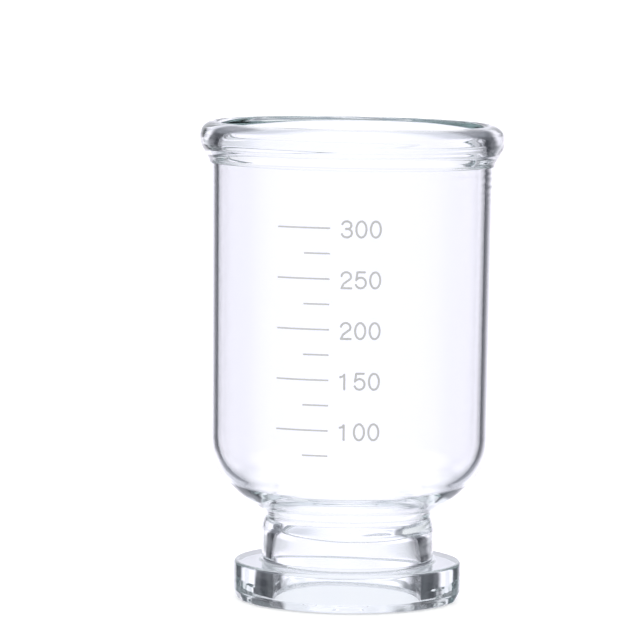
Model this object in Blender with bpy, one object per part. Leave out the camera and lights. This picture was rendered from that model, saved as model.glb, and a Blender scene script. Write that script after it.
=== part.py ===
"""Graduated filter cup of clear borosilicate glass, open at both ends.

A blown bowl with a rolled, beaded rim runs down through a rounded shoulder into a short neck. A pressed
foot, a neck stub with a thick ground flange, is flame-fused under it. A volume scale is fired on the
outside of the bowl as white enamel: ten lines and five three-figure numerals, each mark its own piece.

Frame: origin at the centre of the flange's ground under face, +Z up along the axis, scale towards -Y.
Dimensions are in millimetres and are turned into metres where the meshes are made.
OD and ID are outer and inner diameters, a name in _R is a radius, and _F is a fillet radius.
"""

import math

import bmesh
import bpy
from mathutils import Vector
from mathutils.geometry import tessellate_polygon

MM = 0.001

# ---- overall ----
TOTAL_HEIGHT = 125.6
TUBE_OD_TOP = 75.0  # just under the rim
TUBE_OD_LOW = 73.9  # where the shoulder begins
TUBE_ID_TOP = 70.2
NECK_OD = 44.0  # at the waist
NECK_ID = 39.6
FOOT_NECK_OD = 45.3
BORE_SEAM_ID = 38.9  # bowl's bore at the joint
SEAM_Z = 19.2  # top of the foot, where the bowl is fused on
FUSED_GAP = 0.3  # clearance kept between the two fused pieces

# ---- rim ----
RIM_OD = 80.0
RIM_CROWN_F = 3.7  # crown, outside
RIM_MOUTH_F = 1.4  # crown, inside
MOUTH_ID = 70.8
BEAD_FLANK_Z = 119.6  # the bead's side turns in here
BEAD_FLANK_F = 6.0
BEAD_FOOT_Z = 115.6  # and meets the tube here
BEAD_FOOT_F = 1.5
# Two soft folds inside the rim, going up: radius, height, fillet
RIM_FOLDS = (
    (TUBE_ID_TOP / 2, 115.2, 2.0),
    (34.55, 116.4, 0.7),
    (34.8, 118.8, 0.8),
    (35.35, 119.7, 0.8),
)

# ---- shoulder and neck ----
TUBE_FOOT_Z = 42.85
# Outer corners, going down: radius, height, fillet
SHOULDER = (
    (TUBE_OD_LOW / 2, 35.85, 15.2),
    (28.55, 27.6, 22.0),
    (NECK_OD / 2, 23.3, 3.0),
)
WALLS = (2.3, 2.35, 2.75, 2.3)  # wall of the side above each shoulder corner, and of the neck
NECK_CORNER_INNER_F = 3.4
WAIST_Z = 21.3
BOWL_BASE_INSET = 0.15  # bowl's lower edge, in from the foot's neck
NECK_BORE_RISE = 1.15  # height in which the bore opens from the joint to NECK_ID
NECK_BORE_F = 1.5

# ---- foot ----
FLANGE_OD = 60.0
FLANGE_THICKNESS = 10.0
FLANGE_EDGE_F = 0.8
FLANGE_ROOT_F = 0.9
BEVEL_HEIGHT = 2.2  # bevel round the ground face
BEVEL_WIDTH = 0.7
BEVEL_TOP_F = 0.8
BEVEL_FOOT_F = 0.5
BORE_LOW_ID = 39.4  # at the ground face
BORE_EDGE_F = 0.6
BORE_BELL_Z = 11.0  # the bore begins to narrow here
BORE_BELL_FLARE = 0.15  # added to the bore's radius there
BORE_BELL_F = 12.0
BORE_THROAT_ID = 37.7  # narrowest bore, just under the joint
BORE_THROAT_Z = 17.6
BORE_THROAT_F = 2.5
FOOT_BORE_INSET = 0.12  # foot's bore at the joint, in from the bowl's

# ---- scale ----
Z_300 = 100.46
STEP_50 = 13.02  # height of 50 mL of the bore
LONG_MARKS = (300, 250, 200, 150, 100)
SHORT_MARKS = (275, 225, 175, 125, 75)
LINE_RIGHT = -5.4  # along the surface from the front centre line
LONG_LENGTH = 14.2
SHORT_LENGTH = 6.8
LINE_WEIGHT = 0.42
ENAMEL = 0.10  # thickness
ENAMEL_CLEAR = 0.07  # from the drawn glass surface to the enamel's inner face

# ---- numerals ----
DIGIT_H = 4.65
DIGIT_W = 3.13
DIGIT_PITCH = 3.72
DIGIT_LEFT = -2.68  # left edge of the hundreds, along the surface
DIGIT_WEIGHT = 0.55
ONE_WEIGHT = DIGIT_WEIGHT * 0.9
DIGIT_DROP = 0.22  # numerals sit this much under their line
# Reach of a stroke's centre line from the middle of its cell
HALF_W = (DIGIT_W - DIGIT_WEIGHT) / 2
HALF_H = (DIGIT_H - DIGIT_WEIGHT) / 2
PLACES = ("hundreds", "tens", "units")

# ---- facets ----
SEGMENTS = 64
CHORD_ERROR = 0.07  # how far a facet of a fillet may cut inside its arc
BEND_STEP = 1.8  # longest facet of a line round the tube
RING_STEPS = 20  # facets round a nought


def clear_scene():
    for obj in list(bpy.data.objects):
        bpy.data.objects.remove(obj, do_unlink=True)


def material(name, color, roughness, transmission=0.0, ior=1.45):
    mat = bpy.data.materials.new(name)
    mat.use_nodes = True
    inputs = mat.node_tree.nodes["Principled BSDF"].inputs
    inputs["Base Color"].default_value = (*color, 1.0)
    inputs["Metallic"].default_value = 0.0
    inputs["Roughness"].default_value = roughness
    inputs["Transmission Weight"].default_value = transmission
    inputs["IOR"].default_value = ior
    mat.diffuse_color = (*color, 1.0)
    return mat


def glass(name, color, roughness):
    return material(name, color, roughness, transmission=1.0, ior=1.473)


def enamel(name, grey):
    return material(name, color=(grey, grey, grey), roughness=0.45)


def finish(name, bm, mat):
    """Turns the closed mesh outward and links it as an object."""
    bmesh.ops.recalc_face_normals(bm, faces=bm.faces)
    if bm.calc_volume(signed=True) < 0:
        bmesh.ops.reverse_faces(bm, faces=bm.faces)
    mesh = bpy.data.meshes.new(name)
    bm.to_mesh(mesh)
    bm.free()
    mesh.materials.append(mat)
    obj = bpy.data.objects.new(name, mesh)
    bpy.context.scene.collection.objects.link(obj)
    return obj


# ---- glass -------------------------------------------------------------------------------------


def fillet_arc(before, corner, after):
    """Points of the arc that rounds a corner between its two neighbours."""
    x, z, fillet = corner
    ux, uz = before[0] - x, before[1] - z
    vx, vz = after[0] - x, after[1] - z
    u_length, v_length = math.hypot(ux, uz), math.hypot(vx, vz)
    ux, uz, vx, vz = ux / u_length, uz / u_length, vx / v_length, vz / v_length
    turn = math.pi - math.acos(max(-1.0, min(1.0, ux * vx + uz * vz)))
    reach = fillet * math.tan(turn / 2)  # from the corner to each tangent point
    # The arc's centre lies on the bisector of the two sides
    mid_x, mid_z = ux + vx, uz + vz
    far = fillet / math.cos(turn / 2) / math.hypot(mid_x, mid_z)
    centre_x, centre_z = x + mid_x * far, z + mid_z * far
    start = math.atan2(z + uz * reach - centre_z, x + ux * reach - centre_x)
    end = math.atan2(z + vz * reach - centre_z, x + vx * reach - centre_x)
    sweep = (end - start + math.pi) % (2 * math.pi) - math.pi
    facet = 2 * math.acos(max(0.0, 1.0 - CHORD_ERROR / fillet))
    steps = max(1, math.ceil(abs(sweep) / facet))
    angles = [start + sweep * k / steps for k in range(steps + 1)]
    return [(centre_x + fillet * math.cos(a), centre_z + fillet * math.sin(a)) for a in angles]


def rounded(corners):
    """Closed outline through corners (radius, height, fillet); a fillet of 0 leaves a sharp corner."""
    outline = []
    for i, corner in enumerate(corners):
        if corner[2] > 0.0:
            outline += fillet_arc(corners[i - 1], corner, corners[(i + 1) % len(corners)])
        else:
            outline.append(corner[:2])
    return outline


def inner_shoulder():
    """Inner corners of the shoulder, from the neck up: every outer side moved in by its wall."""
    track = [
        (TUBE_OD_LOW / 2, TUBE_FOOT_Z),
        *[corner[:2] for corner in SHOULDER],
        (NECK_OD / 2, WAIST_Z),
    ]
    sides = []  # a point on each moved side, and the side's direction
    for (x0, z0), (x1, z1), wall in zip(track[:-1], track[1:], WALLS):
        dx, dz = x1 - x0, z1 - z0
        length = math.hypot(dx, dz)
        sides.append((x0 + dz / length * wall, z0 - dx / length * wall, dx, dz))

    fillets = [corner[2] - wall for corner, wall in zip(SHOULDER[:-1], WALLS)]
    fillets.append(NECK_CORNER_INNER_F)
    corners = []
    for (ax, az, ux, uz), (bx, bz, vx, vz), fillet in zip(sides[:-1], sides[1:], fillets):
        share = ((bx - ax) * vz - (bz - az) * vx) / (ux * vz - uz * vx)
        corners.append((ax + ux * share, az + uz * share, fillet))
    return corners[::-1]


def bowl_corners():
    """Down the outside of the bowl and back up the inside: radius, height, fillet."""
    base = SEAM_Z + FUSED_GAP
    outer = [
        (RIM_OD / 2, TOTAL_HEIGHT, RIM_CROWN_F),
        (RIM_OD / 2, BEAD_FLANK_Z, BEAD_FLANK_F),
        (TUBE_OD_TOP / 2, BEAD_FOOT_Z, BEAD_FOOT_F),
        (TUBE_OD_LOW / 2, TUBE_FOOT_Z, 0.0),
        *SHOULDER,
        (NECK_OD / 2, WAIST_Z, 0.0),
        (FOOT_NECK_OD / 2 - BOWL_BASE_INSET, base, 0.0),
    ]
    inner = [
        (BORE_SEAM_ID / 2, base, 0.0),
        (NECK_ID / 2, base + NECK_BORE_RISE, NECK_BORE_F),
        *inner_shoulder(),
        *RIM_FOLDS,
        (MOUTH_ID / 2, TOTAL_HEIGHT, RIM_MOUTH_F),
    ]
    return outer + inner


def foot_corners():
    """Down the outside of the foot and back up its bore: radius, height, fillet."""
    outer = [
        (FOOT_NECK_OD / 2, SEAM_Z, 0.0),
        (FOOT_NECK_OD / 2, FLANGE_THICKNESS, FLANGE_ROOT_F),
        (FLANGE_OD / 2, FLANGE_THICKNESS, FLANGE_EDGE_F),
        (FLANGE_OD / 2, BEVEL_HEIGHT, BEVEL_TOP_F),
        (FLANGE_OD / 2 - BEVEL_WIDTH, 0.0, BEVEL_FOOT_F),
    ]
    inner = [
        (BORE_LOW_ID / 2, 0.0, BORE_EDGE_F),
        (BORE_LOW_ID / 2 + BORE_BELL_FLARE, BORE_BELL_Z, BORE_BELL_F),
        (BORE_THROAT_ID / 2, BORE_THROAT_Z, BORE_THROAT_F),
        (BORE_SEAM_ID / 2 - FOOT_BORE_INSET, SEAM_Z, 0.0),
    ]
    return outer + inner


def revolve(name, corners, mat):
    """Spins the closed profile through a full turn about the vertical axis."""
    bm = bmesh.new()
    ring = [bm.verts.new((radius * MM, 0.0, z * MM)) for radius, z in rounded(corners)]
    edges = [bm.edges.new((ring[i - 1], ring[i])) for i in range(len(ring))]
    bmesh.ops.spin(
        bm,
        geom=ring + edges,
        cent=(0.0, 0.0, 0.0),
        axis=(0.0, 0.0, 1.0),
        angle=2 * math.pi,
        steps=SEGMENTS,
        use_merge=True,
        use_duplicate=False,
    )
    bmesh.ops.remove_doubles(bm, verts=bm.verts, dist=1e-6)
    obj = finish(name, bm, mat)
    obj.data.shade_smooth()
    obj.data.set_sharp_from_angle(angle=math.radians(35))
    return obj


# ---- enamel on the tube ------------------------------------------------------------------------


def tube_radius(z):
    """Outer radius of the drawn tube at height z."""
    share = min(1.0, max(0.0, (z - TUBE_FOOT_Z) / (BEAD_FOOT_Z - TUBE_FOOT_Z)))
    return (TUBE_OD_LOW + (TUBE_OD_TOP - TUBE_OD_LOW) * share) / 2


def bend(point, lift):
    """Wraps a flat point (distance right of the front line, height) round the tube, lifted off it."""
    across, z = point
    base = tube_radius(z)
    angle = across / base
    radius = base + lift
    return (radius * math.sin(angle) * MM, -radius * math.cos(angle) * MM, z * MM)


def enamel_strip(name, pairs, mat, closed=False):
    """A thin raised band. pairs holds, along the band, the flat points of its two edges."""
    bm = bmesh.new()
    low, high = ENAMEL_CLEAR, ENAMEL_CLEAR + ENAMEL
    sections = []
    for first, second in pairs:
        loop = ((first, low), (second, low), (second, high), (first, high))
        sections.append([bm.verts.new(bend(point, lift)) for point, lift in loop])
    count = len(sections)
    for i in range(count if closed else count - 1):
        a, b = sections[i], sections[(i + 1) % count]
        for k in range(4):
            bm.faces.new((a[k], a[(k + 1) % 4], b[(k + 1) % 4], b[k]))
    if not closed:
        bm.faces.new(sections[0][::-1])
        bm.faces.new(sections[-1])
    return finish(name, bm, mat)


def enamel_plate(name, outline, mat):
    """A thin raised plate with the given outline of flat points."""
    bm = bmesh.new()
    inner = [bm.verts.new(bend(point, ENAMEL_CLEAR)) for point in outline]
    outer = [bm.verts.new(bend(point, ENAMEL_CLEAR + ENAMEL)) for point in outline]
    count = len(outline)
    for i in range(count):
        j = (i + 1) % count
        bm.faces.new((inner[i], inner[j], outer[j], outer[i]))
    for triangle in tessellate_polygon([[Vector((x, y, 0.0)) for x, y in outline]]):
        bm.faces.new([inner[k] for k in triangle])
        bm.faces.new([outer[k] for k in reversed(triangle)])
    return finish(name, bm, mat)


def stroke(path, weight, closed=False):
    """Both edges of a stroke of even weight along a path, mitred at its corners."""
    pairs = []
    last = len(path) - 1
    for i, (x, y) in enumerate(path):
        # An open end is its own neighbour, which gives a side of no length
        before = path[i - 1] if closed or i > 0 else (x, y)
        after = path[(i + 1) % len(path)] if closed or i < last else (x, y)
        normals = []
        for (xa, ya), (xb, yb) in ((before, (x, y)), ((x, y), after)):
            length = math.hypot(xb - xa, yb - ya)
            if length > 1e-9:
                normals.append((-(yb - ya) / length, (xb - xa) / length))
        mean_x = sum(normal[0] for normal in normals) / len(normals)
        mean_y = sum(normal[1] for normal in normals) / len(normals)
        # Dividing by the squared length stretches the mitre so that the weight stays even
        size = mean_x * mean_x + mean_y * mean_y
        dx, dy = mean_x / size * (weight / 2), mean_y / size * (weight / 2)
        pairs.append(((x + dx, y + dy), (x - dx, y - dy)))
    return pairs


# ---- figures: x right and y up from the middle of the cell -------------------------------------
# An ellipse is (centre x, centre y, half width, half height); angles are in degrees from +x.


def ellipse_point(ellipse, degrees):
    centre_x, centre_y, half_width, half_height = ellipse
    angle = math.radians(degrees)
    return centre_x + half_width * math.cos(angle), centre_y + half_height * math.sin(angle)


def arc(ellipse, start, end, steps):
    return [ellipse_point(ellipse, start + (end - start) * k / steps) for k in range(steps + 1)]


def grown(ellipse, amount):
    return (*ellipse[:2], ellipse[2] + amount, ellipse[3] + amount)


def crossing(ellipse, other, towards):
    """Angle on the ellipse, between 0 and towards, where it enters the other; by bisection."""
    outside, inside = 0.0, towards
    for _ in range(40):
        middle = (outside + inside) / 2
        x, y = ellipse_point(ellipse, middle)
        if ((x - other[0]) / other[2]) ** 2 + ((y - other[1]) / other[3]) ** 2 < 1.0:
            inside = middle
        else:
            outside = middle
    return outside


def path_0():
    ring = arc((0.0, 0.0, HALF_W, HALF_H), start=0.0, end=360.0, steps=RING_STEPS)
    return ring[:-1]  # the last point repeats the first


def path_1():
    """The flag from its left tip to the top of the stem, then down the stem."""
    stem = -0.06 * DIGIT_W
    return [
        (-HALF_W + 0.05, HALF_H - 0.95),
        (stem - 0.45, HALF_H - 0.78),
        (stem, HALF_H - 0.30),
        (stem, -HALF_H - DIGIT_WEIGHT / 2),
    ]


def path_2():
    """The round top, then the diagonal and the base."""
    rise = 1.16
    top = (0.0, HALF_H - rise, HALF_W - 0.08, rise)
    return arc(top, start=172.0, end=-28.0, steps=8) + [
        (-HALF_W + 0.62, -HALF_H + 1.12),
        (-HALF_W + 0.10, -HALF_H),
        (HALF_W, -HALF_H),
    ]


def path_5():
    """The top bar and the upright, then the round belly."""
    rise = 1.36
    belly = (-0.02, -HALF_H + rise, HALF_W + 0.02, rise)
    bar = [(HALF_W - 0.25, HALF_H), (-HALF_W + 0.42, HALF_H), (-HALF_W + 0.12, 0.02)]
    return bar + arc(belly, start=138.0, end=-158.0, steps=11)


def outline_3():
    """Two lobes: down their outer edges, meeting in the right-hand notch, and back up the inner."""
    upper_rise, lower_rise = 1.0, 1.10
    upper = (-0.02, HALF_H - upper_rise, HALF_W - 0.12, upper_rise)
    lower = (0.0, -HALF_H + lower_rise, HALF_W, lower_rise)
    half = DIGIT_WEIGHT / 2
    upper_out, lower_out = grown(upper, half), grown(lower, half)
    upper_notch = crossing(upper_out, lower_out, towards=-90.0)
    lower_notch = crossing(lower_out, upper_out, towards=90.0)
    return (
        arc(upper_out, start=165.0, end=upper_notch, steps=10)
        + arc(lower_out, start=lower_notch, end=-165.0, steps=11)
        + arc(grown(lower, -half), start=-165.0, end=100.0, steps=11)
        + arc(grown(upper, -half), start=-100.0, end=165.0, steps=10)
    )


# Figures drawn with one stroke: path, weight, closed
STROKED = {
    "0": (path_0, DIGIT_WEIGHT, True),
    "1": (path_1, ONE_WEIGHT, False),
    "2": (path_2, DIGIT_WEIGHT, False),
    "5": (path_5, DIGIT_WEIGHT, False),
}


# ---- scale marks -------------------------------------------------------------------------------


def scale_z(value):
    return Z_300 - (300 - value) / 50.0 * STEP_50


def enamel_line(value, length, mat):
    z = scale_z(value)
    steps = max(2, math.ceil(length / BEND_STEP))
    pairs = []
    for k in range(steps + 1):
        across = LINE_RIGHT - length + length * k / steps
        pairs.append(((across, z + LINE_WEIGHT / 2), (across, z - LINE_WEIGHT / 2)))
    return enamel_strip(f"scale_line_{value}", pairs, mat)


def enamel_digit(name, figure, centre, middle, mat):
    """One figure with its cell's middle at (centre, middle) on the flattened tube."""

    def place(points):
        return [(centre + x, middle + y) for x, y in points]

    if figure == "3":
        return enamel_plate(name, place(outline_3()), mat)
    path, weight, closed = STROKED[figure]
    pairs = [place(pair) for pair in stroke(path(), weight, closed)]
    return enamel_strip(name, pairs, mat, closed)


def enamel_numeral(value, mat):
    middle = scale_z(value) - DIGIT_DROP
    digits = []
    for k, (figure, place_name) in enumerate(zip(str(value), PLACES)):
        centre = DIGIT_LEFT + DIGIT_W / 2 + k * DIGIT_PITCH
        name = f"numeral_{value}_{place_name}"
        digits.append(enamel_digit(name, figure, centre, middle, mat))
    return digits


def build():
    clear_scene()
    bowl_glass = glass("bowl_glass", color=(0.93, 0.95, 0.97), roughness=0.03)
    foot_glass = glass("foot_glass", color=(0.90, 0.93, 0.96), roughness=0.05)
    line_enamel = enamel("line_enamel", grey=0.74)
    numeral_enamel = enamel("numeral_enamel", grey=0.72)

    root = bpy.data.objects.new("filter_cup", None)
    bpy.context.scene.collection.objects.link(root)

    pieces = [
        revolve("glass_bowl", bowl_corners(), bowl_glass),
        revolve("flange_foot", foot_corners(), foot_glass),
    ]
    pieces += [enamel_line(value, LONG_LENGTH, line_enamel) for value in LONG_MARKS]
    pieces += [enamel_line(value, SHORT_LENGTH, line_enamel) for value in SHORT_MARKS]
    for value in LONG_MARKS:
        pieces += enamel_numeral(value, numeral_enamel)
    for piece in pieces:
        piece.parent = root


build()
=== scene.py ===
"""Looks of the graduated flanged filter cup: blown borosilicate glass with a fired enamel scale.

The cup stands upright on its flange, its axis on Z and its under face at z = 0. The scale is on the
front (-Y), and +X is to the right of it. The glass is one flame-worked body, its seam fused and its
corners fire-polished. Each enamel mark is its own thin, raised film that follows the wall. The light
is a bright-field table: a lit white sweep behind the object and darkness to the sides.

Shapes are worked out in millimetres and turned into metres when the meshes are made.
"""

import math

import bpy
import numpy as np
from mathutils import Matrix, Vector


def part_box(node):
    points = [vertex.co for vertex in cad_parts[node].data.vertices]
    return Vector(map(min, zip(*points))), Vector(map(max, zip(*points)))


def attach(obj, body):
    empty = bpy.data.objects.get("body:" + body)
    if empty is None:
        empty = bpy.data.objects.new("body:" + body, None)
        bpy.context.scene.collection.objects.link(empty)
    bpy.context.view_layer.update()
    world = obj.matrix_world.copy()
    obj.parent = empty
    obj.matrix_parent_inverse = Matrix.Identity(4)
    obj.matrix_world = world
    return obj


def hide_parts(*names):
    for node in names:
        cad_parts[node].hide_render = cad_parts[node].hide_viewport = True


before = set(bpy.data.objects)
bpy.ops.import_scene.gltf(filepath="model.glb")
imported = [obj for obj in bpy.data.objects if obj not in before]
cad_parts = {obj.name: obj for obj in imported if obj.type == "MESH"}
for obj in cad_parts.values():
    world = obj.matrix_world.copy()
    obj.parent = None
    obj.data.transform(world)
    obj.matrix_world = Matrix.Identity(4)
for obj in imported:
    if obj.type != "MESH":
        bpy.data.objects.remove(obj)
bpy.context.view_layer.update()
MM = 0.001


def box_mm(piece):
    """Lowest and highest corner of a CAD piece."""
    return [np.array(corner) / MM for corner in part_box(piece)]


# ----------------------------------------------------------------------------------------------
# glass section
# ----------------------------------------------------------------------------------------------
bowl_low, bowl_high = box_mm("glass_bowl")
foot_low, foot_high = box_mm("flange_foot")
RIM_R = (bowl_high[0] - bowl_low[0]) / 2
TOP_Z = bowl_high[2]
FLANGE_R = (foot_high[0] - foot_low[0]) / 2
FLANGE_TOP_Z = 10.0
SEAM_Z = (foot_high[2] + bowl_low[2]) / 2

# the tube's outside, slightly conical between the shoulder and the shelf under the rim
TUBE_R_TOP = RIM_R - 2.5
TUBE_R_LOW = RIM_R - 3.05
SHELF_Z = TOP_Z - 10.0
SHOULDER_Z = 42.85
NECK_R = 22.0
NECK_LOW_Z = 21.3

# the shoulder's outer corners: radius, height, fillet
SHOULDER = [(TUBE_R_LOW, 35.85, 15.2), (28.55, 27.6, 22.0), (NECK_R, 23.3, 3.0)]
# the wall's thickness above each of these corners, and below the last
WALL = [2.3, 2.35, 2.75, 2.3]
NECK_INNER_FILLET = 3.4

PATH_STEP = 0.01  # wanted spacing of the points along the section
POLISH = 0.16  # width of the Gaussian that fire-polishes the section


def inner_shoulder():
    """The shoulder's inner corners, from the neck up: the outer sides moved in by the wall."""
    outline = [
        (TUBE_R_LOW, SHOULDER_Z),
        *(corner[:2] for corner in SHOULDER),
        (NECK_R, NECK_LOW_Z),
    ]
    sides = []
    for (x0, z0), (x1, z1), wall in zip(outline[:-1], outline[1:], WALL):
        dx, dz = x1 - x0, z1 - z0
        length = math.hypot(dx, dz)
        sides.append((x0 + dz / length * wall, z0 - dx / length * wall, dx, dz))
    fillets = [fillet - wall for (_, _, fillet), wall in zip(SHOULDER[:-1], WALL)]
    fillets.append(NECK_INNER_FILLET)
    corners = []
    for (x0, z0, dx0, dz0), (x1, z1, dx1, dz1), fillet in zip(sides[:-1], sides[1:], fillets):
        share = ((x1 - x0) * dz1 - (z1 - z0) * dx1) / (dx0 * dz1 - dz0 * dx1)
        corners.append((x0 + dx0 * share, z0 + dz0 * share, fillet))
    return corners[::-1]


def glass_corners():
    """Corners (radius, height, fillet) of the section: down the outside, then up the inside."""
    outside = [
        (RIM_R, TOP_Z, 3.7),
        (RIM_R, TOP_Z - 6.0, 6.0),
        (TUBE_R_TOP, SHELF_Z, 1.5),
        (TUBE_R_LOW, SHOULDER_Z, 0.0),
        *SHOULDER,
        (NECK_R, NECK_LOW_Z, 2.0),
        (22.62, SEAM_Z - 0.6, 3.0),
        (22.65, FLANGE_TOP_Z, 0.9),
        (FLANGE_R, FLANGE_TOP_Z, 0.8),
        (FLANGE_R, 2.2, 0.8),
        (FLANGE_R - 0.7, 0.0, 0.5),
    ]
    inside = [
        (19.7, 0.0, 0.35),
        (19.85, 11.0, 30.0),
        (18.85, SEAM_Z - 2.1, 5.0),
        (19.8, SEAM_Z + 2.0, 5.0),
        *inner_shoulder(),
        (35.1, TOP_Z - 10.4, 2.0),
        (34.55, TOP_Z - 9.2, 0.7),
        (34.8, TOP_Z - 6.8, 0.8),
        (35.35, TOP_Z - 5.9, 0.8),
        (35.4, TOP_Z, 1.4),
    ]
    return outside + inside


def corner_arc(before, corner, after, fillet):
    """The points that round one corner; the corner itself where there is nothing to round."""
    to_before = (before - corner) / math.hypot(*(before - corner))
    to_after = (after - corner) / math.hypot(*(after - corner))
    turn = math.pi - math.acos(max(-1.0, min(1.0, float(to_before @ to_after))))
    if fillet <= 0.0 or turn < 1e-4:
        return [corner]
    middle = to_before + to_after
    centre = corner + middle * (fillet / math.cos(turn / 2) / math.hypot(*middle))
    reach = fillet * math.tan(turn / 2)
    start_x, start_z = corner + to_before * reach - centre
    end_x, end_z = corner + to_after * reach - centre
    start = math.atan2(start_z, start_x)
    sweep = (math.atan2(end_z, end_x) - start + math.pi) % (2 * math.pi) - math.pi
    steps = max(4, int(abs(sweep) * fillet / PATH_STEP))
    angles = [start + sweep * k / steps for k in range(steps + 1)]
    return [centre + fillet * np.array([math.cos(a), math.sin(a)]) for a in angles]


def rounded_path(corners):
    """The closed path through the rounded corners as evenly spaced points, and its length."""
    places = [np.array(corner[:2]) for corner in corners]
    points = []
    for i, place in enumerate(places):
        after = places[(i + 1) % len(places)]
        points += corner_arc(places[i - 1], place, after, corners[i][2])
    loop = np.array(points + points[:1])
    length = np.concatenate([[0.0], np.cumsum(np.hypot(*np.diff(loop, axis=0).T))])
    at = np.linspace(0.0, length[-1], int(length[-1] / PATH_STEP), endpoint=False)
    return np.stack([np.interp(at, length, loop[:, k]) for k in (0, 1)], 1), length[-1]


def smooth_loop(path, pitch, sigma):
    """Fire-polishes the loop: a Gaussian of width sigma along it."""
    count = len(path)
    gain = np.exp(-2.0 * (math.pi * np.fft.rfftfreq(count, d=pitch) * sigma) ** 2)
    return np.stack([np.fft.irfft(np.fft.rfft(path[:, k]) * gain, count) for k in (0, 1)], 1)


sharp_path, PERIMETER = rounded_path(glass_corners())
PITCH = PERIMETER / len(sharp_path)
PATH = smooth_loop(sharp_path, PITCH, POLISH)
# share of the loop at which the inside starts: the innermost point of the under face
INNER_START = float(np.argmin(np.where(PATH[:, 1] < 1.0, PATH[:, 0], 1e3))) / len(PATH)


def section_points(max_turn, max_length):
    """Distances along the loop of the mesh's rings, closer together where it bends."""
    tangent = (np.roll(PATH, -1, 0) - np.roll(PATH, 1, 0)) / (2 * PITCH)
    angle = np.unwrap(np.arctan2(tangent[:, 1], tangent[:, 0]))
    bend = np.abs(np.gradient(angle, PITCH))
    bend[:2] = bend[2]
    bend[-2:] = bend[-3]
    window = int(0.3 / PITCH)
    kernel = np.ones(2 * window + 1) / (2 * window + 1)
    bend = np.convolve(np.concatenate([bend[-window:], bend, bend[:window]]), kernel, "valid")
    # the tooled rings under the rim and the worked neck need closer points than the plain tube
    radius, z = PATH.T
    rings = (z > 101.0) & (z < 118.0) & (radius < 36.0)
    length = np.where(rings, 0.7, np.where(z < 22.0, 1.1, max_length))
    density = np.sqrt((bend / max_turn) ** 2 + (1.0 / length) ** 2)
    total = np.concatenate([[0.0], np.cumsum(density) * PITCH])
    marks = np.linspace(0.0, total[-1], int(math.ceil(total[-1])), endpoint=False)
    return np.interp(marks, total, np.arange(len(PATH) + 1) * PITCH)


def section_at(distance):
    """(radius, height) at a distance along the loop."""
    place = (distance / PITCH) % len(PATH)
    i = np.floor(place).astype(int)
    share = (place - i)[..., None]
    return PATH[i % len(PATH)] * (1 - share) + PATH[(i + 1) % len(PATH)] * share


# ----------------------------------------------------------------------------------------------
# hand-made unevenness
# ----------------------------------------------------------------------------------------------
# height, and how far the bore's centre has wandered towards +X there
BORE_DRIFT = [(0.0, 0.0), (4.0, 0.0), (16.6, -0.34), (22.6, 0.26), (28.0, 0.0)]

# sums of sines: size, phase per mm of height, waves round the axis, starting phase
BEAD_WAVES = [(1.0, 1.9, 3, 0.0), (0.8, 2.9, -2, 1.1), (0.4, 0.8, 7, 0.0)]
CHIP_WAVES = [(1.0, 0.0, 9, 1.0), (0.7, 0.0, 17, 2.2), (0.6, 0.0, 26, 0.7)]
LIFT_WAVES = [(1.0, 0.0, 7, 0.5), (0.6, 0.0, 13, 2.0)]

RING_DEPTH = 0.020
LUMP_SIZE = 0.035
BEVEL_CUT = 0.20  # mean depth ground off the bevel
CHIP_DEPTH = 0.11  # unevenness of that depth
BEVEL_LIFT = 0.30
RIM_LEAN = 0.0065  # drop per mm towards +X at the rim


def ease(x, a, b):
    """0 at a, 1 at b, level at both ends."""
    t = np.clip((x - a) / (b - a), 0.0, 1.0)
    return t * t * (3 - 2 * t)


def drift(z):
    """The bore's offset at height z: the table, eased between its rows."""
    steps = zip(BORE_DRIFT[:-1], BORE_DRIFT[1:])
    return BORE_DRIFT[0][1] + sum((a1 - a0) * ease(z, z0, z1) for (z0, a0), (z1, a1) in steps)


def waves(z, theta, table):
    return sum(size * np.sin(per_mm * z + turns * theta + start)
               for size, per_mm, turns, start in table)


def worked(r, z, theta, inner):
    """Where a point of the true section ends up in the hand-made piece. theta runs from +X
    towards +Y, and inner is 1 on the inside of the wall and 0 outside."""
    # fine tooled rings inside, strongest under the rim and on the +X side
    rings = ease(z, 100.5, 114.0) * ease(z, 121.0, 117.0) * (0.6 + 0.4 * np.cos(theta))
    ripple = np.sin(2.15 * z + 1.7 * np.sin(3 * theta + 0.4))
    ripple = ripple + 0.6 * np.sin(3.3 * z - 2.0 * np.sin(2 * theta + 1.0))
    # the rim's bead is slightly lumpy
    bead = ease(z, 115.5, 118.5)
    # the bevel under the flange is unevenly ground
    bevel = (1.0 - inner) * ease(z, 2.5, 1.5) * ease(r, 26.0, 28.5)
    r = r + inner * (drift(z) * np.cos(theta) + RING_DEPTH * rings * ripple)
    r = r + bead * LUMP_SIZE * waves(z, theta, BEAD_WAVES)
    r = r - bevel * (BEVEL_CUT + CHIP_DEPTH * waves(z, theta, CHIP_WAVES))
    lift = bevel * ease(z, 0.2, 1.6) * BEVEL_LIFT * waves(z, theta, LIFT_WAVES)
    x = r * np.cos(theta)
    y = r * np.sin(theta)
    lean = -RIM_LEAN * ease(z, 60.0, 120.0) * x
    return np.stack([x, y, z + lift + lean], -1)


def glass_point(distance, theta):
    section = section_at(distance)
    share = (distance / PERIMETER) % 1.0
    inner = np.clip((share - INNER_START) / 0.004, 0.0, 1.0)
    return worked(section[..., 0], section[..., 1], theta, inner)


def make_object(name, verts, faces, material, smooth=True, normals=None):
    mesh = bpy.data.meshes.new(name)
    mesh.from_pydata([tuple(v) for v in verts], [], faces)
    mesh.materials.append(material)
    if smooth:
        mesh.shade_smooth()
    mesh.update()
    if normals is not None:
        mesh.normals_split_custom_set_from_vertices([tuple(n) for n in normals])
    mesh.validate()
    obj = bpy.data.objects.new(name, mesh)
    bpy.context.scene.collection.objects.link(obj)
    return obj


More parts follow.
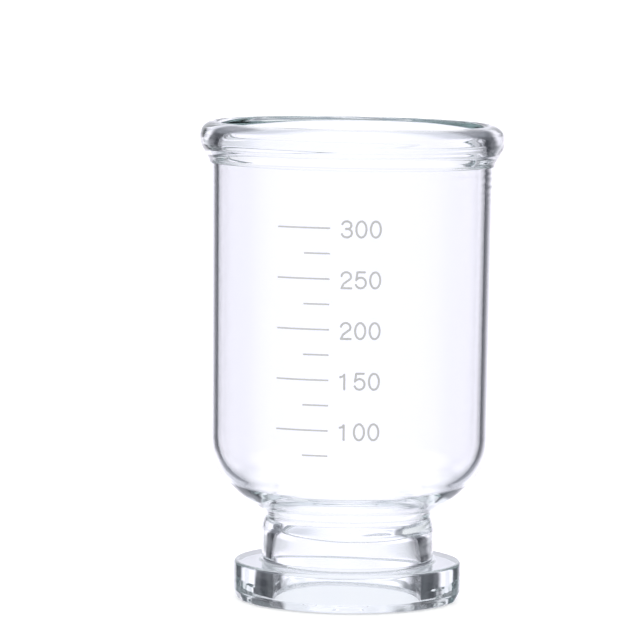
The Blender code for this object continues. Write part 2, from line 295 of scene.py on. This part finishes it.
def build_glass(material):
    """The section carried round the axis, with normals taken from the worked surface itself."""
    max_turn, max_length, segments = math.radians(4.6), 3.0, 256
    angles = np.arange(segments) * 2 * math.pi / segments
    along, theta = np.meshgrid(section_points(max_turn, max_length), angles, indexing="ij")
    points = glass_point(along, theta)
    step, turn = 0.02, 1e-3
    down = glass_point(along + step, theta) - glass_point(along - step, theta)
    round_axis = glass_point(along, theta + turn) - glass_point(along, theta - turn)
    normals = np.cross(down, round_axis)
    normals /= np.linalg.norm(normals, axis=-1, keepdims=True)
    here = np.arange(along.size).reshape(along.shape)
    below = np.roll(here, -1, 0)
    ring = [here, below, np.roll(below, -1, 1), np.roll(here, -1, 1)]
    quads = np.stack(ring, -1).reshape(-1, 4).tolist()
    verts = points.reshape(-1, 3) * MM
    return make_object("glass_body", verts, quads, material, normals=normals.reshape(-1, 3))


# ----------------------------------------------------------------------------------------------
# materials
# ----------------------------------------------------------------------------------------------
class Tree:
    """Short ways to add nodes. A value is a socket to link, a colour of three, or a number."""

    def __init__(self, tree):
        self.tree = tree

    def node(self, kind, **props):
        made = self.tree.nodes.new(kind)
        for key, value in props.items():
            setattr(made, key, value)
        return made

    def put(self, value, socket):
        if isinstance(value, bpy.types.NodeSocket):
            self.tree.links.new(value, socket)
        elif isinstance(value, tuple):
            socket.default_value = (*value, 1.0)
        else:
            socket.default_value = value

    def fill(self, made, *values):
        """Puts the values into the node's first inputs and returns its first output."""
        for k, value in enumerate(values):
            self.put(value, made.inputs[k])
        return made.outputs[0]

    def math(self, op, *values):
        return self.fill(self.node("ShaderNodeMath", operation=op), *values)

    def linear(self, value, gain, base):
        return self.math("MULTIPLY_ADD", value, gain, base)

    def hypot(self, a, b):
        squares = self.math("MULTIPLY", a, a), self.math("MULTIPLY", b, b)
        return self.math("SQRT", self.math("ADD", *squares))

    def smooth(self, value, at, to=(0.0, 1.0)):
        """Smooth step from to[0] where the value is at[0] to to[1] where it is at[1]."""
        step = self.node("ShaderNodeMapRange", interpolation_type="SMOOTHSTEP", clamp=True)
        return self.fill(step, value, *at, *to)

    def mix(self, factor, a, b):
        """Colour a at factor 0, b at factor 1."""
        made = self.node("ShaderNodeMix", data_type="RGBA", blend_type="MIX", clamp_factor=True)
        self.put(factor, made.inputs["Factor"])
        colors = [i for i in made.inputs if i.type == "RGBA"]
        self.put(a, colors[0])
        self.put(b, colors[1])
        return [o for o in made.outputs if o.type == "RGBA"][0]

    def mix_shader(self, factor, a, b):
        return self.fill(self.node("ShaderNodeMixShader"), factor, a, b)

    def noise(self, vector, scale, detail=3.0, rough=0.5):
        made = self.node("ShaderNodeTexNoise")
        self.put(vector, made.inputs["Vector"])
        made.inputs["Scale"].default_value = scale
        made.inputs["Detail"].default_value = detail
        made.inputs["Roughness"].default_value = rough
        return made.outputs[0]

    def coord(self, space):
        return self.node("ShaderNodeTexCoord").outputs[space]

    def split(self, vector):
        made = self.node("ShaderNodeSeparateXYZ")
        self.put(vector, made.inputs[0])
        return made.outputs


def new_material(name):
    mat = bpy.data.materials.new(name)
    mat.use_nodes = True
    nodes = mat.node_tree.nodes
    return mat, Tree(mat.node_tree), nodes["Principled BSDF"], nodes["Material Output"]


def glass_material():
    polished_tint, frost_and_shade_tint = (0.985, 0.992, 0.998), (0.75, 0.79, 0.86)
    mat, t, bsdf, out = new_material("borosilicate_glass")
    place = t.coord("Object")
    # the ground under face is frosted and tinted grey-blue, the tint partly the frost's grey and
    # partly painted shade that darkens the flange's lower edge; the rest is polished, with a breath
    # of handling film
    ground = t.smooth(t.split(place)["Z"], at=(0.00012, 0.00030), to=(1.0, 0.0))
    film_noise = t.noise(place, scale=90.0, detail=4.0, rough=0.6)
    polish = t.smooth(film_noise, at=(0.45, 0.75), to=(0.0, 0.012))
    grit = t.noise(place, scale=2600.0, detail=2.0, rough=0.6)
    frost = t.linear(grit, gain=0.25, base=0.22)
    rough = t.math("ADD", t.math("MULTIPLY", ground, frost), polish)
    t.put(rough, bsdf.inputs["Roughness"])
    # painted shade: the under face's grey-blue tint darkens the flange's lower edge, over the
    # frost's own grey
    t.put(t.mix(ground, polished_tint, frost_and_shade_tint), bsdf.inputs["Base Color"])
    bsdf.inputs["IOR"].default_value = 1.473
    bsdf.inputs["Transmission Weight"].default_value = 1.0
    volume = t.node("ShaderNodeVolumeAbsorption")
    volume.inputs["Color"].default_value = (0.30, 0.55, 0.52, 1.0)
    volume.inputs["Density"].default_value = 4.0
    t.put(volume.outputs[0], out.inputs["Volume"])
    return mat


def enamel_material(name, light, dark):
    """Fired enamel: grey levels light and dark in clouds and specks, over a fine grain."""
    cloud_share, speck_share = 0.7, 0.3
    mat, t, bsdf, _ = new_material(name)
    place = t.coord("Object")
    cloud = t.noise(place, scale=420.0, detail=4.0, rough=0.6)
    speck = t.noise(place, scale=5200.0, detail=2.0, rough=0.5)
    shares = t.math("MULTIPLY", cloud, cloud_share), t.math("MULTIPLY", speck, speck_share)
    tone = t.smooth(t.math("ADD", *shares), at=(0.35, 0.65))
    t.put(t.mix(tone, (dark,) * 3, (light,) * 3), bsdf.inputs["Base Color"])
    t.put(t.linear(speck, gain=0.25, base=0.32), bsdf.inputs["Roughness"])
    bump = t.node("ShaderNodeBump")
    bump.inputs["Strength"].default_value = 0.25
    bump.inputs["Distance"].default_value = 0.00002
    t.put(speck, bump.inputs["Height"])
    t.put(bump.outputs[0], bsdf.inputs["Normal"])
    bsdf.inputs["IOR"].default_value = 1.5
    return mat


# ----------------------------------------------------------------------------------------------
# enamel marks, laid out as (distance round the wall from the front line, height)
# ----------------------------------------------------------------------------------------------
CAD_LIFT = 0.17  # how far the CAD scale stands off the tube
FILM_RISE = 0.034
FILM_SINK = 0.02  # depth of the film's back inside the glass
FILM_EDGE = 0.07  # width over which the film's edge rounds off
FILM_PITCH = 0.085
RAGGED = 0.008
LINE_MARGIN, FIGURE_MARGIN = 0.15, 0.3  # grid beyond the mark's own box

FIGURE_W, FIGURE_H = 3.13, 4.65
FIGURE_PITCH = 3.72
NUMERAL_LEFT = -2.68
STROKE = 0.55


def tube_radius(z):
    share = np.clip((z - SHOULDER_Z) / (SHELF_Z - SHOULDER_Z), 0.0, 1.0)
    return TUBE_R_LOW + (TUBE_R_TOP - TUBE_R_LOW) * share


def arc_of(x, z):
    """Distance along the wall from the front line, for a CAD point at x on the scale's film."""
    radius = tube_radius(z)
    return math.asin(max(-1.0, min(1.0, x / (radius + CAD_LIFT)))) * radius


def stroke_distance(points, paths):
    """Distance from each point to the nearest path."""
    best = np.full(len(points), 1e9)
    for path in map(np.array, paths):
        for a, b in zip(path[:-1], path[1:]):
            side = b - a
            share = np.clip(((points - a) @ side) / max(1e-12, side @ side), 0.0, 1.0)
            off = np.linalg.norm(points - a - share[:, None] * side, axis=1)
            best = np.minimum(best, off)
    return best


def ellipse(x, y, half_w, half_h, start, end, steps=40):
    """Arc of an ellipse about (x, y), between two angles in degrees."""
    angle = np.radians(np.linspace(start, end, steps + 1))
    return np.stack([x + half_w * np.cos(angle), y + half_h * np.sin(angle)], 1)


def figure_paths():
    """Centre lines of plain light figures, centred on their cell."""
    right, top = (FIGURE_W - STROKE) / 2, (FIGURE_H - STROKE) / 2
    left, foot = -right, -top
    stem = -0.06 * FIGURE_W
    two_top = ellipse(0, top - 1.16, right - 0.08, 1.16, 172, -28)
    two_foot = [(left + 0.62, foot + 1.12), (left + 0.10, foot), (right, foot)]
    five_top = [(right - 0.25, top), (left + 0.42, top), (left + 0.12, 0.02)]
    five_bowl = ellipse(-0.02, foot + 1.36, right + 0.02, 1.36, 138, -158)
    return {
        "0": [ellipse(0, 0, right, top, 0, 360, 72)],
        "1": [[(left + 0.05, top - 0.95), (stem - 0.45, top - 0.78), (stem, top - 0.30),
               (stem, foot)]],
        "2": [np.vstack([two_top, two_foot])],
        "3": [ellipse(-0.02, top - 1.0, right - 0.12, 1.0, 165, -100),
              ellipse(0, foot + 1.10, right, 1.10, 100, -165)],
        "5": [np.vstack([five_top, five_bowl])],
    }


def ragged(points, seed):
    """The slight unevenness of a screened edge."""
    a, b = points[:, 0] * 2.1 + seed, points[:, 1] * 2.3 - seed
    uneven = np.sin(a * 2.7 + 1.3 * np.sin(b)) + 0.6 * np.sin(b * 4.1 + a)
    return RAGGED * (uneven + 0.4 * np.sin(a * 7.3 - b * 5.9))


def outline_film(field, low, high, margin):
    """Cuts a grid along field = 0: its points, their field values, polygons and rim edges."""
    across, up = (
        lo - margin + FILM_PITCH * np.arange(
            int(math.ceil(((hi + margin) - (lo - margin)) / FILM_PITCH)) + 1)
        for lo, hi in zip(low, high)
    )
    grid = np.stack([axis.ravel() for axis in np.meshgrid(across, up, indexing="ij")], 1)
    level = field(grid).reshape(len(across), len(up))
    # keeps cut points off the grid's own corners
    near = 0.12 * FILM_PITCH
    level = np.where(np.abs(level) < near, np.where(level < 0, -near, near), level)
    points, values, lookup = [], [], {}

    def vertex(key, s, z, value):
        if key not in lookup:
            lookup[key] = len(points)
            points.append((s, z))
            values.append(value)
        return lookup[key]

    def crossing(p, q):
        share = level[p] / (level[p] - level[q])
        s = across[p[0]] + (across[q[0]] - across[p[0]]) * share
        z = up[p[1]] + (up[q[1]] - up[p[1]]) * share
        return vertex((min(p, q), max(p, q)), s, z, 0.0)

    polygons, rims = [], {}
    for i in range(len(across) - 1):
        for j in range(len(up) - 1):
            ring = [(i, j), (i + 1, j), (i + 1, j + 1), (i, j + 1)]
            polygon = []
            for p, q in zip(ring, ring[1:] + ring[:1]):
                if level[p] > 0:
                    polygon.append(vertex(p, across[p[0]], up[p[1]], level[p]))
                if (level[p] > 0) != (level[q] > 0):
                    polygon.append(crossing(p, q))
            if len(polygon) < 3:
                continue
            polygons.append(polygon)
            # an edge met from both sides is not on the rim
            for a, b in zip(polygon, polygon[1:] + polygon[:1]):
                if (b, a) in rims:
                    del rims[(b, a)]
                else:
                    rims[(a, b)] = True
    return np.array(points), np.array(values), polygons, rims


def film(name, field, low, high, margin, material):
    """A closed, raised film on the wall wherever field is positive, rounded at its edge."""
    points, values, polygons, rims = outline_film(field, low, high, margin)
    count = len(points)
    rise = FILM_RISE * (1.0 - np.exp(-np.maximum(values, 0.0) / FILM_EDGE))
    base = tube_radius(points[:, 1])
    angle = points[:, 0] / base

    def lay(lift):
        radius = base + lift
        return np.stack([radius * np.sin(angle), -radius * np.cos(angle), points[:, 1]], 1) * MM

    verts = np.vstack([lay(rise), lay(np.full(count, -FILM_SINK))])
    faces = polygons + [[v + count for v in reversed(p)] for p in polygons]
    faces += [[a, a + count, b + count, b] for a, b in rims]
    return make_object(name, verts, faces, material)


def build_line(value, k, material):
    node = f"scale_line_{value}"
    low, high = box_mm(node)
    z, half = (low[2] + high[2]) / 2, (high[2] - low[2]) / 2
    start, end = arc_of(low[0], z), arc_of(high[0], z)

    def field(p):
        along = np.minimum(p[:, 0] - start, end - p[:, 0])
        across = half - np.abs(p[:, 1] - z)
        return np.minimum(along, across) + ragged(p, 3.1 * k)

    corners = (start, z - half), (end, z + half)
    obj = film(f"fired_line_{value}", field, *corners, LINE_MARGIN, material)
    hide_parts(node)
    return obj


def build_figure(value, k, place, paths, material):
    node = f"numeral_{value}_{place}"
    low, high = box_mm(node)
    z = (low[2] + high[2]) / 2
    centre = NUMERAL_LEFT + k * FIGURE_PITCH + FIGURE_W / 2

    def field(p):
        off = stroke_distance(p - np.array([centre, z]), paths)
        return STROKE / 2 - off + ragged(p, 1.7 * k + z)

    corners = (
        (centre - FIGURE_W / 2, z - FIGURE_H / 2),
        (centre + FIGURE_W / 2, z + FIGURE_H / 2),
    )
    obj = film(f"fired_numeral_{value}_{place}", field, *corners, FIGURE_MARGIN, material)
    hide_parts(node)
    return obj


def build_marks(line_mat, numeral_mat):
    made = [build_line(value, k, line_mat) for k, value in enumerate(range(300, 74, -25))]
    figures = figure_paths()
    for value in range(300, 99, -50):
        for k, place in enumerate(("hundreds", "tens", "units")):
            made.append(build_figure(value, k, place, figures[str(value)[k]], numeral_mat))
    return made


# ----------------------------------------------------------------------------------------------
# light, floor and camera
# ----------------------------------------------------------------------------------------------
# The world is drawn in degrees about the camera's axis: azimuth to the right, height up, and
# off, the azimuth's size. Each at= is the range of degrees over which one level turns to another.
def lit_share(t, azimuth, off, height):
    """The sweep's lit width: a firm left edge, a soft right one, both drawing in with height."""
    right = t.smooth(azimuth, at=(-1.0, 1.0))
    low_end = t.smooth(height, at=(-8.3, -6.2), to=(32.0, 28.8))
    left_end = t.math("ADD", low_end, t.smooth(height, at=(4.0, 10.0), to=(0.0, 2.2)))
    left_start = t.smooth(height, at=(4.0, 10.0), to=(20.5, 16.0))
    left_share = t.smooth(off, at=(left_start, left_end), to=(1.0, 0.0))
    right_start = t.smooth(height, at=(3.0, 10.0), to=(15.0, 9.0))
    right_end = t.smooth(height, at=(3.0, 10.0), to=(31.5, 30.0))
    right_share = t.smooth(off, at=(right_start, right_end), to=(1.0, 0.0))
    change = t.math("SUBTRACT", right_share, left_share)
    return t.math("ADD", left_share, t.math("MULTIPLY", right, change))


def room_color(t, view, height):
    """The room behind the camera, in soft patches."""
    plain, blue = (0.37, 0.39, 0.405), (0.24, 0.32, 0.39)
    low_plain, low_blue = (0.39, 0.41, 0.43), (0.28, 0.35, 0.41)
    low = t.smooth(height, at=(-30.0, -15.0), to=(1.0, 0.0))
    patches = t.smooth(t.noise(view, scale=3.2, detail=2.0), at=(0.42, 0.62))
    room = t.mix(patches, plain, blue)
    return t.mix(low, room, t.mix(patches, low_plain, low_blue))


def sweep_color(t, off, height):
    """The lit sweep behind the object: brighter off the axis, and dimmer higher up."""
    axis, near, wide = (1.18, 1.165, 1.28), (1.14, 1.115, 1.235), (1.40, 1.36, 1.50)
    high_axis, high_wide = (1.15, 1.14, 1.25), (0.98, 0.985, 1.06)
    sweep = t.mix(t.smooth(off, at=(0.0, 4.5)), axis, near)
    sweep = t.mix(t.smooth(off, at=(4.0, 12.0)), sweep, wide)
    above = t.mix(t.smooth(off, at=(3.0, 10.0)), high_axis, high_wide)
    return t.mix(t.smooth(height, at=(3.5, 8.0)), sweep, above)


def wall_color(t, off, height):
    """The unlit walls left and right of the sweep."""
    near, middle, wide = (0.13, 0.133, 0.155), (0.055, 0.058, 0.07), (0.11, 0.115, 0.13)
    high = (0.20, 0.21, 0.23)
    dark = t.mix(t.smooth(off, at=(36.0, 43.0)), near, middle)
    dark = t.mix(t.smooth(off, at=(50.0, 60.0)), dark, wide)
    return t.mix(t.smooth(height, at=(10.0, 20.0)), dark, high)


def table_color(t, off):
    """The table in front of the sweep."""
    axis, near, wide = (1.18, 1.17, 1.26), (0.77, 0.78, 0.87), (0.24, 0.25, 0.29)
    table = t.mix(t.smooth(off, at=(2.0, 11.0)), axis, near)
    return t.mix(t.smooth(off, at=(20.0, 26.5)), table, wide)


def build_world():
    below, softbox, overhead = (0.98, 0.98, 1.02), (0.96, 0.96, 1.02), (1.15, 1.13, 1.22)
    diffuse_light, backdrop = (1.1, 1.1, 1.1), (1.0, 1.0, 1.0)
    world = bpy.data.worlds.new("bright_field")
    bpy.context.scene.world = world
    world.use_nodes = True
    t = Tree(world.node_tree)
    background = world.node_tree.nodes["Background"]
    view = t.coord("Camera")
    x, y, z = t.split(view)
    azimuth = t.math("DEGREES", t.math("ARCTAN2", x, z))
    height = t.math("DEGREES", t.math("ARCTAN2", y, t.hypot(x, z)))
    off = t.math("ABSOLUTE", azimuth)
    lit = lit_share(t, azimuth, off, height)
    front = t.smooth(off, at=(78.0, 102.0), to=(1.0, 0.0))
    room = room_color(t, view, height)
    sweep = sweep_color(t, off, height)
    upper = t.mix(lit, wall_color(t, off, height), sweep)
    table = table_color(t, off)
    pattern = t.mix(t.smooth(height, at=(-18.0, -9.0), to=(1.0, 0.0)), upper, table)
    pattern = t.mix(t.smooth(height, at=(-44.0, -30.0), to=(1.0, 0.0)), pattern, below)
    pattern = t.mix(front, room, pattern)
    # the softbox overhead comes down lower in the middle than at the sides
    over_start = t.smooth(off, at=(18.0, 30.0), to=(14.0, 28.0))
    over_end = t.smooth(off, at=(18.0, 30.0), to=(27.0, 44.0))
    pattern = t.mix(t.smooth(height, at=(over_start, over_end)), pattern, softbox)
    pattern = t.mix(t.smooth(height, at=(32.0, 46.0)), pattern, overhead)
    pattern = t.mix(t.smooth(height, at=(-72.0, -56.0), to=(1.0, 0.0)), pattern, below)
    # diffuse surfaces get even light, and the camera sees plain white
    path = t.node("ShaderNodeLightPath")
    diffuse = t.math("MINIMUM", path.outputs["Diffuse Depth"], 1.0)
    color = t.mix(diffuse, pattern, diffuse_light)
    color = t.mix(path.outputs["Is Camera Ray"], color, backdrop)
    t.put(color, background.inputs["Color"])
    background.inputs["Strength"].default_value = 1.0


def floor_material():
    darker, lighter = (0.90, 0.90, 0.90), (0.92, 0.92, 0.92)
    patch_color = (0.97, 0.985, 1.05)
    patch_edge = (0.0222, 0.0230)
    mat, t, bsdf, out = new_material("white_sweep")
    place = t.coord("Object")
    t.put(t.mix(t.noise(place, scale=3.0), darker, lighter), bsdf.inputs["Base Color"])
    bsdf.inputs["Roughness"].default_value = 0.9
    bsdf.inputs["Emission Color"].default_value = (1.0, 1.0, 1.0, 1.0)
    bsdf.inputs["Emission Strength"].default_value = 0.35
    backfacing = t.node("ShaderNodeNewGeometry").outputs["Backfacing"]
    clear = t.node("ShaderNodeBsdfTransparent").outputs[0]
    one_sided = t.mix_shader(backfacing, bsdf.outputs[0], clear)
    # through the glass only a glowing patch of table round the axis is seen; beyond it the
    # world's pattern shows
    x, y, _ = t.split(place)
    reach = t.hypot(x, y)
    glow = t.node("ShaderNodeEmission")
    t.put(patch_color, glow.inputs["Color"])
    inside = t.smooth(reach, at=patch_edge, to=(1.0, 0.0))
    patch = t.mix_shader(inside, clear, glow.outputs[0])
    path = t.node("ShaderNodeLightPath")
    seen = t.mix_shader(path.outputs["Is Transmission Ray"], one_sided, patch)
    t.put(seen, out.inputs["Surface"])
    return mat


def build_floor():
    size, z = 30.0, -0.0003
    verts = [(-size, -size, z), (size, -size, z), (size, size, z), (-size, size, z)]
    floor = make_object("floor", verts, [[0, 1, 2, 3]], floor_material(), smooth=False)
    floor.visible_glossy = False


def build_camera():
    """A long lens in front of the cup (-Y), looking slightly down."""
    data = bpy.data.cameras.new("camera")
    data.sensor_width = 36.0
    data.lens = 257.2
    data.clip_start = 0.05
    data.clip_end = 100.0
    cam = bpy.data.objects.new("camera", data)
    bpy.context.scene.collection.objects.link(cam)
    pitch, yaw, roll = math.radians(5.25), math.radians(-0.379), math.radians(0.67)
    level = math.cos(pitch)
    ahead = np.array([math.sin(yaw) * level, math.cos(yaw) * level, -math.sin(pitch)])
    right = np.array([math.cos(yaw), -math.sin(yaw), 0.0])
    up = np.cross(right, ahead)
    rolled_right = math.cos(roll) * right + math.sin(roll) * up
    rolled_up = -math.sin(roll) * right + math.cos(roll) * up
    place = Matrix(np.stack([rolled_right, rolled_up, -ahead], 1).tolist()).to_4x4()
    place.translation = (0.0, -1.2, 0.1838)
    cam.matrix_world = place
    bpy.context.scene.camera = cam


def set_render():
    scene = bpy.context.scene
    scene.view_settings.view_transform = "Standard"
    scene.view_settings.look = "None"
    scene.cycles.max_bounces = 128
    scene.cycles.transmission_bounces = 128
    scene.cycles.glossy_bounces = 96
    scene.cycles.transparent_max_bounces = 16
    scene.cycles.sample_clamp_indirect = 0.0


set_render()
glass = build_glass(glass_material())
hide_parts("glass_bowl", "flange_foot")
marks = build_marks(
    enamel_material("line_enamel_fired", light=0.50, dark=0.46),
    enamel_material("numeral_enamel_fired", light=0.48, dark=0.44),
)
for piece in [glass, *marks]:
    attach(piece, "root")

build_world()
build_floor()
build_camera()
